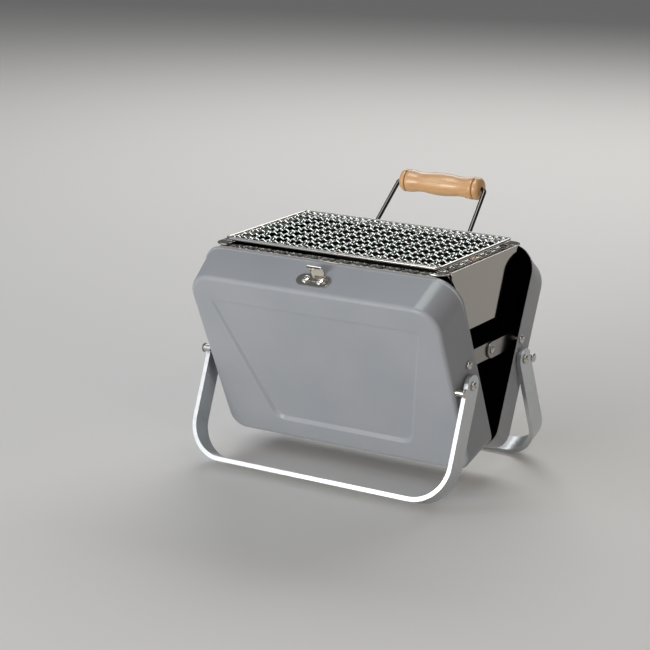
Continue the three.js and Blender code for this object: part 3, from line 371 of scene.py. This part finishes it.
def turned(profile, steps=32):
    # A lathe-turned solid round Z from a line of radius and height that meets the axis or its own start
    mesh = bpy.data.meshes.new("turned")
    points = [(radius, 0, height) for radius, height in profile]
    mesh.from_pydata(points, [(i, i + 1) for i in range(len(points) - 1)], [])
    piece = bpy.data.objects.new("turned", mesh)
    bpy.context.scene.collection.objects.link(piece)
    focus(piece)
    bpy.ops.object.mode_set(mode="EDIT")
    bpy.ops.mesh.select_all(action="SELECT")
    bpy.ops.mesh.spin(steps=steps, angle=2 * math.pi, center=(0, 0, 0), axis=(0, 0, 1))
    bpy.ops.mesh.select_all(action="SELECT")
    bpy.ops.mesh.remove_doubles(threshold=weld["turned"])
    bpy.ops.mesh.normals_make_consistent(inside=False)
    bpy.ops.object.mode_set(mode="OBJECT")
    return piece


# Shells
panel = {
    "low": 20 * mm, "high": 152 * mm, "halfLow": 72.5 * mm, "halfHigh": 108.5 * mm,
    "lowCorner": 9 * mm, "highCorner": 3 * mm, "sinkLow": 3 * mm, "sinkHigh": 0.4 * mm,
    # Inset in mm and share of the sink, along the step round it
    "wall": ((0.8, 0.06), (1.7, 0.32), (2.6, 0.68), (3.5, 0.94), (4.3, 1)),
    "lowSegments": 6, "highSegments": 3, "margin": 0.5 * mm, "cornerZone": 1 * mm, "faceZone": 0.02 * mm,
}


def shellRing(depth, out):
    # The shell's outline at a depth from the rim, reaching out as the rolled rim does
    share = depth / shell["depth"]
    half = shell["rimHalfTop"] - shell["sideInset"] * share + out
    high = shell["height"] - shell["topInset"] * share + out
    return {"depth": depth, "half": half, "low": -out, "high": high}


def pressedShell():
    startPiece()
    bpy.ops.mesh.primitive_plane_add(size=2)
    piece = bpy.context.object
    steps = [(depth * mm, out * mm) for depth, out in shell["bead"]] + [(shell["depth"], 0)]
    ring = shellRing(*steps[0])
    for vertex in piece.data.vertices:
        top = vertex.co.y > 0
        half = ring["half"] if top else ring["half"] - shell["rimHalfTop"] + shell["rimHalfBottom"]
        side = 1 if vertex.co.x > 0 else -1
        vertex.co = (side * half, -ring["depth"], ring["high"] if top else ring["low"])
    middle = (ring["low"] + ring["high"]) / 2
    pick(piece, "VERT", lambda place: place.z > middle)
    bpy.ops.mesh.bevel(offset=shell["topCorner"], segments=shell["topSegments"], affect="VERTICES")
    pick(piece, "VERT", lambda place: place.z < ring["low"] + near)
    bpy.ops.mesh.bevel(offset=shell["bottomCorner"], segments=shell["bottomSegments"], affect="VERTICES")
    bpy.ops.mesh.select_mode(type="FACE")
    bpy.ops.mesh.select_all(action="SELECT")
    bpy.ops.mesh.delete(type="ONLY_FACE")
    bpy.ops.mesh.select_mode(type="EDGE")
    bpy.ops.mesh.select_all(action="SELECT")

    for depth, out in steps[1:]:
        following = shellRing(depth, out)
        grow = (following["high"] - following["low"]) / (ring["high"] - ring["low"])
        bpy.ops.mesh.extrude_edges_move()
        bpy.ops.transform.resize(value=(following["half"] / ring["half"], 1, grow),
                                 center_override=(0, 0, ring["low"]))
        bpy.ops.transform.translate(value=(0, ring["depth"] - depth, following["low"] - ring["low"]))
        ring = following
    bpy.ops.mesh.edge_face_add()
    bpy.ops.mesh.bevel(offset=shell["faceEdge"], segments=shell["edgeSegments"], affect="EDGES")

    # The flat face is opened, and the panel's outline is set in it
    face = -shell["depth"] + panel["faceZone"]
    pick(piece, "FACE", lambda centre, normal: centre.y < face)
    bpy.ops.mesh.delete(type="ONLY_FACE")
    bpy.ops.object.mode_set(mode="OBJECT")
    kept = len(piece.data.vertices)
    bpy.ops.object.mode_set(mode="EDIT")
    bpy.ops.mesh.primitive_plane_add(size=2)
    bpy.ops.object.mode_set(mode="OBJECT")
    for vertex in list(piece.data.vertices)[kept:]:
        top = vertex.co.y > 0
        half = panel["halfHigh"] if top else panel["halfLow"]
        side = 1 if vertex.co.x > 0 else -1
        vertex.co = (side * half, -shell["depth"], panel["high"] if top else panel["low"])

    spreadOut = (panel["halfHigh"] - panel["halfLow"]) / (panel["high"] - panel["low"])

    def inPanel(place):
        half = panel["halfLow"] + (place.z - panel["low"]) * spreadOut + panel["margin"]
        inside = panel["low"] - panel["margin"] < place.z < panel["high"] + panel["margin"]
        return place.y < face and inside and abs(place.x) < half

    pick(piece, "VERT", lambda place: inPanel(place) and place.z < panel["low"] + panel["cornerZone"])
    bpy.ops.mesh.bevel(offset=panel["lowCorner"], segments=panel["lowSegments"], affect="VERTICES")
    pick(piece, "VERT", lambda place: inPanel(place) and place.z > panel["high"] - panel["cornerZone"])
    bpy.ops.mesh.bevel(offset=panel["highCorner"], segments=panel["highSegments"], affect="VERTICES")
    pick(piece, "FACE", lambda centre, normal: centre.y < face)
    bpy.ops.mesh.delete(type="ONLY_FACE")
    pick(piece, "EDGE", lambda place: place.y < face)
    bpy.ops.mesh.fill()
    pick(piece, "FACE", lambda centre, normal: centre.y < face)
    bpy.ops.mesh.dissolve_limited(angle_limit=math.radians(flatDegrees["face"]))

    # The pressed step round the panel, deeper towards the hinge
    pick(piece, "EDGE", inPanel)
    middle = (panel["low"] + panel["high"]) / 2
    halfMiddle = (panel["halfLow"] + panel["halfHigh"]) / 2
    tilt = math.atan((panel["sinkLow"] - panel["sinkHigh"]) / (panel["high"] - panel["low"]))
    lastInset = lastShare = 0
    for inset, share in panel["wall"]:
        step, fall = (inset - lastInset) * mm, share - lastShare
        halfAcross, halfUp = halfMiddle - lastInset * mm, panel["high"] - middle - lastInset * mm
        bpy.ops.mesh.extrude_edges_move()
        bpy.ops.transform.resize(value=(1 - step / halfAcross, 1, 1 - step / halfUp),
                                 center_override=(0, 0, middle))
        bpy.ops.transform.translate(value=(0, fall * panel["sinkHigh"], 0))
        bpy.ops.transform.rotate(value=-fall * tilt, orient_axis="X",
                                 center_override=(0, -shell["depth"], panel["high"]))
        lastInset, lastShare = inset, share
    bpy.ops.mesh.edge_face_add()
    bpy.ops.mesh.select_all(action="SELECT")
    bpy.ops.mesh.normals_make_consistent(inside=False)
    bpy.ops.object.mode_set(mode="OBJECT")
    piece.data.materials.append(enamel)
    piece.data.materials.append(blackInside)
    applyModifier(piece, "SOLIDIFY", {
        "thickness": shell["wall"], "offset": -1, "use_even_offset": True, "material_offset": 1,
        "material_offset_rim": 1})

    # Cleared along the hinge, short of the rounded corners
    startPiece()
    notchHalf = shell["rimHalfBottom"] - shell["bottomCorner"] / 3
    bpy.ops.mesh.primitive_cylinder_add(vertices=24, radius=shell["notch"], depth=2 * notchHalf,
                                        rotation=(0, math.pi / 2, 0))
    cutter = bpy.context.object
    applyModifier(piece, "BOOLEAN", {"object": cutter, "operation": "DIFFERENCE", "solver": "EXACT"})
    bpy.data.objects.remove(cutter)
    smooth(piece, roundDegrees["pressing"])
    return piece


frontShell = pressedShell()
backShell = copyOf(frontShell)
for half, piece in (("front", frontShell), ("back", backShell)):
    piece.data.transform(halfPlace[half])
    dress(piece, f"{half}_shell_pressing", f"{half}_half", [enamel, blackInside], [f"{half}_shell"])
print("shells")

# Flat bar and sheet pieces: body, slot, finish, and how far in mm their edges are broken
edges = {
    "front_leg": ("front_leg_body", "leg", aluminium, 0.7),
    "back_leg": ("back_leg_body", "leg", aluminium, 0.7),
    "firebox_front_wall": ("firebox_body", "firebox", mirrorSteel, 0.45),
    "firebox_back_wall": ("firebox_body", "firebox", mirrorSteel, 0.45),
    "firebox_end_plate_left": ("firebox_body", "firebox", mirrorSteel, 0.45),
    "firebox_end_plate_right": ("firebox_body", "firebox", mirrorSteel, 0.45),
    # The charcoal plate takes the same painted shade, near black like the inside of the box
    "charcoal_plate": ("firebox_body", "charcoal_plate", paintedShadeSteel, 0.25),
    "latch_keeper": ("front_half", "fitting", nickel, 0.4),
    "latch_base": ("back_half", "fitting", nickel, 0.3),
    "handle_bracket_left": ("back_half", "fitting", nickel, 0.35),
    "handle_bracket_right": ("back_half", "fitting", nickel, 0.35),
}
for side in ("left", "right"):
    edges[f"stay_front_link_{side}"] = (f"stay_front_{side}_body", "stay", brushedSteel, 0.35)
    edges[f"stay_back_link_{side}"] = (f"stay_back_{side}_body", "stay", brushedSteel, 0.35)
finished = {node: softened(node, f"{node}_finished", body, material, edge * mm)
            for node, (body, slot, material, edge) in edges.items()}

# The box's inner faces, all but its flanges, take the painted shade: those that look inwards, and the floor
paintedShadeZone = {"facing": -0.12, "flangeNormal": 0.97, "floorZone": 1.5 * mm}
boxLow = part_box("firebox_front_wall")[0]
for node in ("firebox_front_wall", "firebox_back_wall", "firebox_end_plate_left", "firebox_end_plate_right"):
    mesh = finished[node].data
    mesh.materials.append(paintedShadeSteel)
    for face in mesh.polygons:
        outward = Vector((face.center.x, face.center.y - hinge["y"], 0)).normalized()
        inner = face.normal.dot(outward) < paintedShadeZone["facing"] and abs(face.normal.z) < paintedShadeZone["flangeNormal"]
        face.material_index = int(inner or face.center.z < boxLow.z + paintedShadeZone["floorZone"])

# Each end plate's flange runs on over the front and back flanges to the box's rounded corners
flangeTab = {"sheet": 1.2 * mm, "setBack": 1.2 * mm, "corner": 10 * mm, "segments": 6, "edge": 0.3 * mm}
for node in ("firebox_end_plate_left", "firebox_end_plate_right"):
    low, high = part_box(node)
    frontEnd = boxLow.y + flangeTab["setBack"]
    backEnd = 2 * hinge["y"] - boxLow.y - flangeTab["setBack"]
    tabs = []
    for start, end in ((low.y, frontEnd), (high.y, backEnd)):
        startPiece()
        bpy.ops.mesh.primitive_cube_add(size=1)
        tab = bpy.context.object
        centre = Vector(((low.x + high.x) / 2, (start + end) / 2, high.z - flangeTab["sheet"] / 2))
        sides = (high.x - low.x, abs(end - start), flangeTab["sheet"], 1)
        tab.data.transform(Matrix.Translation(centre) @ Matrix.Diagonal(sides))
        tab.data.materials.append(mirrorSteel)
        farX = max(abs(low.x), abs(high.x)) - near
        pick(tab, "EDGE", lambda place: abs(place.x) > farX and abs(place.y - end) < near)
        bpy.ops.mesh.bevel(offset=flangeTab["corner"], segments=flangeTab["segments"], affect="EDGES")
        bpy.ops.object.mode_set(mode="OBJECT")
        applyModifier(tab, "BEVEL", {"width": flangeTab["edge"], "segments": 2})
        smooth(tab)
        tabs.append(tab)
    focus(finished[node])
    for tab in tabs:
        tab.select_set(True)
    bpy.ops.object.join()
    startPiece()
print("bars and sheets")


# Rivets and studs, in mm; "pit" is the dimple's line as shares of its radius and of the head's rise
rivetShape = {"domeSteps": 7, "domeEdge": 0.12, "pit": ((0, 0.55), (0.75, 0.6), (1, 0.9)), "tailEnd": 0.85}


def rivetProfile(rivet, grip):
    # From the top of the head down to the tail; a collar is its radius, top and bottom below the head
    head, rise, shank, tail, tailRise = (rivet[key] for key in ("head", "rise", "shank", "tail", "tailRise"))
    dimple, collar = rivet.get("dimple", 0), rivet.get("collar")
    profile = [(dimple * across, rise * up) for across, up in rivetShape["pit"]] if dimple else [(0, rise)]
    begin = math.asin(dimple / head)
    for k in range(1, rivetShape["domeSteps"] + 1):
        angle = begin + (math.pi / 2 - begin) * k / rivetShape["domeSteps"]
        dome = rivetShape["domeEdge"] + (1 - rivetShape["domeEdge"]) * math.cos(angle)
        profile.append((head * math.sin(angle), rise * dome))
    profile.append((head, 0))
    if collar:
        radius, top, bottom = collar
        if top > 0:
            profile += [(shank, 0), (shank, -top)]
        profile += [(radius, -top), (radius, -bottom), (shank, -bottom)]
    else:
        profile.append((shank, 0))
    end = -grip - tailRise
    profile += [(shank, -grip), (tail, -grip), (tail * rivetShape["tailEnd"], end), (0, end)]
    return [(radius * mm, height * mm) for radius, height in profile]


def sideRivet(node, body, rivet):
    # A rivet along X in place of its CAD node, its head on the outer side
    low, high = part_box(node)
    grip = (high.x - low.x) / mm - rivet["rise"] - rivet["tailRise"]
    piece = turned(rivetProfile(rivet, grip))
    outward = 1 if low.x + high.x > 0 else -1
    seat = (high.x if outward > 0 else low.x) - outward * rivet["rise"] * mm
    place = Matrix.Translation((seat, (low.y + high.y) / 2, (low.z + high.z) / 2))
    piece.data.transform(place @ Matrix.Rotation(outward * math.pi / 2, 4, "Y"))
    smooth(piece, roundDegrees["rivet"], weighted=False)
    dress(piece, f"{node}_turned", body, [nickel], [node])


sideRivets = {
    "leg_rivet": {"head": 4.2, "rise": 2.2, "shank": 2.6, "tail": 3.4, "tailRise": 1,
                  "collar": (5, 4.6, 5.4), "dimple": 1.1},
    "leg_stop": {"head": 4.2, "rise": 1.2, "shank": 2, "tail": 2.5, "tailRise": 0.7, "collar": (3.3, 0, 7.6)},
    "stay_rivet": {"head": 4, "rise": 1.8, "shank": 2.2, "tail": 4, "tailRise": 0.9, "dimple": 1},
}
knuckleRivet = {"head": 3.6, "rise": 1.3, "shank": 2.2, "tail": 3.6, "tailRise": 0.6}
for half in ("front", "back"):
    for side in ("left", "right"):
        for name, rivet in sideRivets.items():
            sideRivet(f"{half}_{name}_{side}", f"{half}_half", rivet)
for side in ("left", "right"):
    sideRivet(f"stay_knuckle_{side}", f"stay_front_{side}_body", knuckleRivet)

# On the top walls: how deep from the rim, how far across from the middle and along from the seat's axis
trimRivet = {"head": 4, "rise": 1.6, "shank": 1.7, "tail": 2.85, "tailRise": 0.8, "dimple": 1.1}
latchRivet = {"head": 2.8, "rise": 1.12, "shank": 1.3, "tail": 2.05, "tailRise": 0.8}
topRivets = {
    "keeper_rivet": {"half": "front", "depth": 24, "across": 7.3, "along": 0, "rivet": trimRivet},
    "latch_rivet": {"half": "back", "depth": 8, "across": 4.2, "along": -7.5, "rivet": latchRivet},
    "handle_rivet": {"half": "back", "depth": 20, "across": 64.14, "along": 0, "rivet": trimRivet},
}
topSeat = {"lift": 1.8, "grip": 3.3}
for name, place in topRivets.items():
    half = place["half"]
    for side, sign in (("left", -1), ("right", 1)):
        across = (sign if half == "front" else -sign) * place["across"]
        piece = turned(rivetProfile(place["rivet"], topSeat["grip"]), steps=28)
        seat = Matrix.Translation((across * mm, place["along"] * mm, topSeat["lift"] * mm))
        piece.data.transform(topPlace(half, place["depth"] * mm) @ seat)
        smooth(piece, roundDegrees["rivet"], weighted=False)
        dress(piece, f"{name}_{side}_turned", f"{half}_half", [nickel], [f"{name}_{side}"])
print("rivets")

# Latch loop
latch = {"depth": 8 * mm, "lift": 3.5 * mm, "half": 9 * mm, "reach": 18.45 * mm, "tip": 10.4 * mm,
         "bend": math.radians(44.6), "wire": 1.2 * mm, "corner": 3 * mm}
tipY = -latch["reach"] - latch["tip"] * math.cos(latch["bend"])
tipZ = latch["tip"] * math.sin(latch["bend"])
loopCorners = [Vector(place) for place in (
    (0, 0, 0), (latch["half"], 0, 0), (latch["half"], -latch["reach"], 0), (latch["half"], tipY, tipZ),
    (-latch["half"], tipY, tipZ), (-latch["half"], -latch["reach"], 0), (-latch["half"], 0, 0), (0, 0, 0))]
loop = bentWire(roundedRoute(loopCorners, [latch["corner"]] * 6)[:-1], latch["wire"], closed=True)
loop.data.transform(topPlace("back", latch["depth"]) @ Matrix.Translation((0, 0, latch["lift"])))
smooth(loop, roundDegrees["wire"], weighted=False)
dress(loop, "latch_loop_bent", "latch_loop_body", [nickel], ["latch_loop"])

# Handle: bent wire bail and turned grip
handle = {"depth": 20 * mm, "lift": 4.2 * mm, "lean": math.radians(23.7), "half": 50 * mm,
          "gripHalf": 46 * mm, "reach": 59 * mm, "end": 56.7 * mm, "wire": 2 * mm,
          "endBend": 3 * mm, "topBend": 4 * mm}
handlePivot = topPlace("back", handle["depth"]) @ Matrix.Translation((0, 0, handle["lift"]))
handlePlace = handlePivot @ Matrix.Rotation(handle["lean"] - topSlope, 4, "X")
bailCorners = [Vector(place) for place in (
    (handle["end"], 0, 0), (handle["half"], 0, 0), (handle["gripHalf"], 0, handle["reach"]),
    (-handle["gripHalf"], 0, handle["reach"]), (-handle["half"], 0, 0), (-handle["end"], 0, 0))]
bailBends = [handle["endBend"], handle["topBend"], handle["topBend"], handle["endBend"]]
bail = bentWire(roundedRoute(bailCorners, bailBends), handle["wire"])
bail.data.transform(handlePlace)
smooth(bail, roundDegrees["wire"], weighted=False)
dress(bail, "handle_bail_bent", "handle_body", [paintedReflectionChrome], ["handle_bail"])

grip = {"half": 42.5 * mm, "bore": 2.3 * mm, "middle": 10.8 * mm,
        # Share of the half length and radius in mm, from the right end to the middle
        "line": ((1, 7), (0.992, 8), (0.975, 9.1), (0.95, 10), (0.92, 10.6), (0.89, 10.8), (0.866, 10.6),
                 (0.857, 10.1), (0.847, 9.9), (0.837, 10.1), (0.828, 10.6), (0.8, 10.8), (0.75, 10.7),
                 (0.66, 10.1), (0.58, 9.5), (0.5, 9.25), (0.42, 9.4), (0.3, 10), (0.18, 10.5), (0.08, 10.75))}
right = [(radius * mm, share * grip["half"]) for share, radius in grip["line"]]
outline = right + [(grip["middle"], 0)] + [(radius, -height) for radius, height in reversed(right)]
boreEnds = [(grip["bore"], grip["half"]), (grip["bore"], -grip["half"])]
woodGrip = turned([boreEnds[0], *outline, boreEnds[1], boreEnds[0]], steps=48)
gripPlace = handlePlace @ Matrix.Translation((0, 0, handle["reach"]))
woodGrip.data.transform(gripPlace @ Matrix.Rotation(math.pi / 2, 4, "Y"))
smooth(woodGrip, roundDegrees["turned"], weighted=False)
dress(woodGrip, "handle_grip_turned", "handle_body", [beech], ["handle_grip"])
print("latch and handle")

# Grate: a rod frame with feet, and a woven net of crimped wires inside it
frameLow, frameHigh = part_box("grate_frame")
grate = {"rod": 1.5 * mm, "corner": 5 * mm, "footInset": 17.6 * mm, "footTip": 1.2 * mm, "footEdge": 0.4 * mm,
         "wire": 0.72 * mm, "crimp": 0.85 * mm, "halfWaves": 5, "fade": 3 * mm, "step": 0.75 * mm}
rodX = frameHigh.x - grate["rod"]
rodY = (frameHigh.y - frameLow.y) / 2 - grate["rod"]
grateMiddle = Vector((0, (frameHigh.y + frameLow.y) / 2, frameHigh.z - grate["rod"]))
rodCorners = [grateMiddle + Vector(corner) for corner in (
    (0, -rodY, 0), (rodX, -rodY, 0), (rodX, rodY, 0), (-rodX, rodY, 0), (-rodX, -rodY, 0), (0, -rodY, 0))]
rodFrame = bentWire(roundedRoute(rodCorners, [grate["corner"]] * 4)[:-1], grate["rod"], closed=True)
footHeight = grateMiddle.z - frameLow.z
footLine = [(0, 0), (grate["footTip"], 0), (grate["rod"], grate["footEdge"]),
            (grate["rod"], footHeight), (0, footHeight)]
feet = []
for sideX in (-1, 1):
    for sideY in (-1, 1):
        foot = turned(footLine, steps=20)
        footY = grateMiddle.y + sideY * (rodY + grate["rod"] - grate["footInset"])
        foot.data.transform(Matrix.Translation((sideX * rodX, footY, frameLow.z)))
        feet.append(foot)
focus(rodFrame)
for foot in feet:
    foot.select_set(True)
bpy.ops.object.join()
smooth(rodFrame, roundDegrees["turned"], weighted=False)
dress(rodFrame, "grate_frame_bent", "grate_body", [brushedSteel], ["grate_frame"])


def crimpedWire(half, first, pitch, sign):
    # One wire along X from rod to rod, with its half waves between two crossings and its ends flat
    steps = round(2 * half / grate["step"])
    points = []
    for k in range(steps + 1):
        at = -half + 2 * half * k / steps
        fade = min(1, (half - abs(at)) / grate["fade"])
        wave = math.cos(grate["halfWaves"] * math.pi * (at - first) / pitch)
        points.append(Vector((at, 0, sign * fade * grate["crimp"] * wave)))
    return bentWire(points, grate["wire"], sides=2)


# Each set of wires: how many, and the places of its first and last, each so far from the rod beside it
crossing = {"count": 13, "first": 5.6 * mm - rodX, "last": rodX - 11.8 * mm}
running = {"count": 9, "first": 9.9 * mm - rodY, "last": rodY - 5.6 * mm}
for wireSet in (crossing, running):
    wireSet["pitch"] = (wireSet["last"] - wireSet["first"]) / (wireSet["count"] - 1)
wires = []
for own, other, half, turn, startSign in (
        (running, crossing, rodX, 0, 1), (crossing, running, rodY, math.pi / 2, -1)):
    patterns = [crimpedWire(half, other["first"], other["pitch"], sign * startSign) for sign in (1, -1)]
    for k in range(own["count"]):
        wire = copyOf(patterns[k % 2])
        across = Vector((1, 0, 0)) if turn else Vector((0, 1, 0))
        offset = across * (own["first"] + k * own["pitch"])
        wire.data.transform(Matrix.Translation(grateMiddle + offset) @ Matrix.Rotation(turn, 4, "Z"))
        wires.append(wire)
    for pattern in patterns:
        bpy.data.objects.remove(pattern)
startPiece()
for wire in wires:
    wire.select_set(True)
bpy.context.view_layer.objects.active = wires[0]
bpy.ops.object.join()
net = bpy.context.object
smooth(net, roundDegrees["net"], weighted=False)
dress(net, "grate_net_woven", "grate_body", [netWire], ["grate_net"])
print("grate", len(net.data.polygons), "faces in the net")

# The CAD nodes that stay take a finish of their own
kept = {"front_hinge_leaf": brushedSteel, "back_hinge_leaf": brushedSteel, "hinge_pin": nickel}
for half in ("front", "back"):
    for side in ("left", "right"):
        kept[f"{half}_hinge_rivet_{side}"] = nickel
for node, material in kept.items():
    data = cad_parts[node].data
    data.materials.clear()
    data.materials.append(material)

# Floor and light round it
studio = {"floorSize": 12, "floorColour": "#dedcd8", "lightColour": "#d9dbde", "lightStrength": 0.22}
startPiece()
bpy.ops.mesh.primitive_plane_add(size=studio["floorSize"], location=(0, 0, 0))
floor = bpy.context.object
floor.name = "floor"
# Pale paper roll, matt, with a barely seen tooth
paper = newMaterial("pale_paper", {"Roughness": 0.7, "Base Color": hexColour(studio["floorColour"])})
bump(paper, surfaceNoise(paper, 2 * mm), 0.02 * mm, 0.1)
floor.data.materials.append(paper)

world = bpy.data.worlds.new("studio")
world.use_nodes = True
background = world.node_tree.nodes["Background"]
background.inputs["Color"].default_value = hexColour(studio["lightColour"])
background.inputs["Strength"].default_value = studio["lightStrength"]
bpy.context.scene.world = world
print("floor")
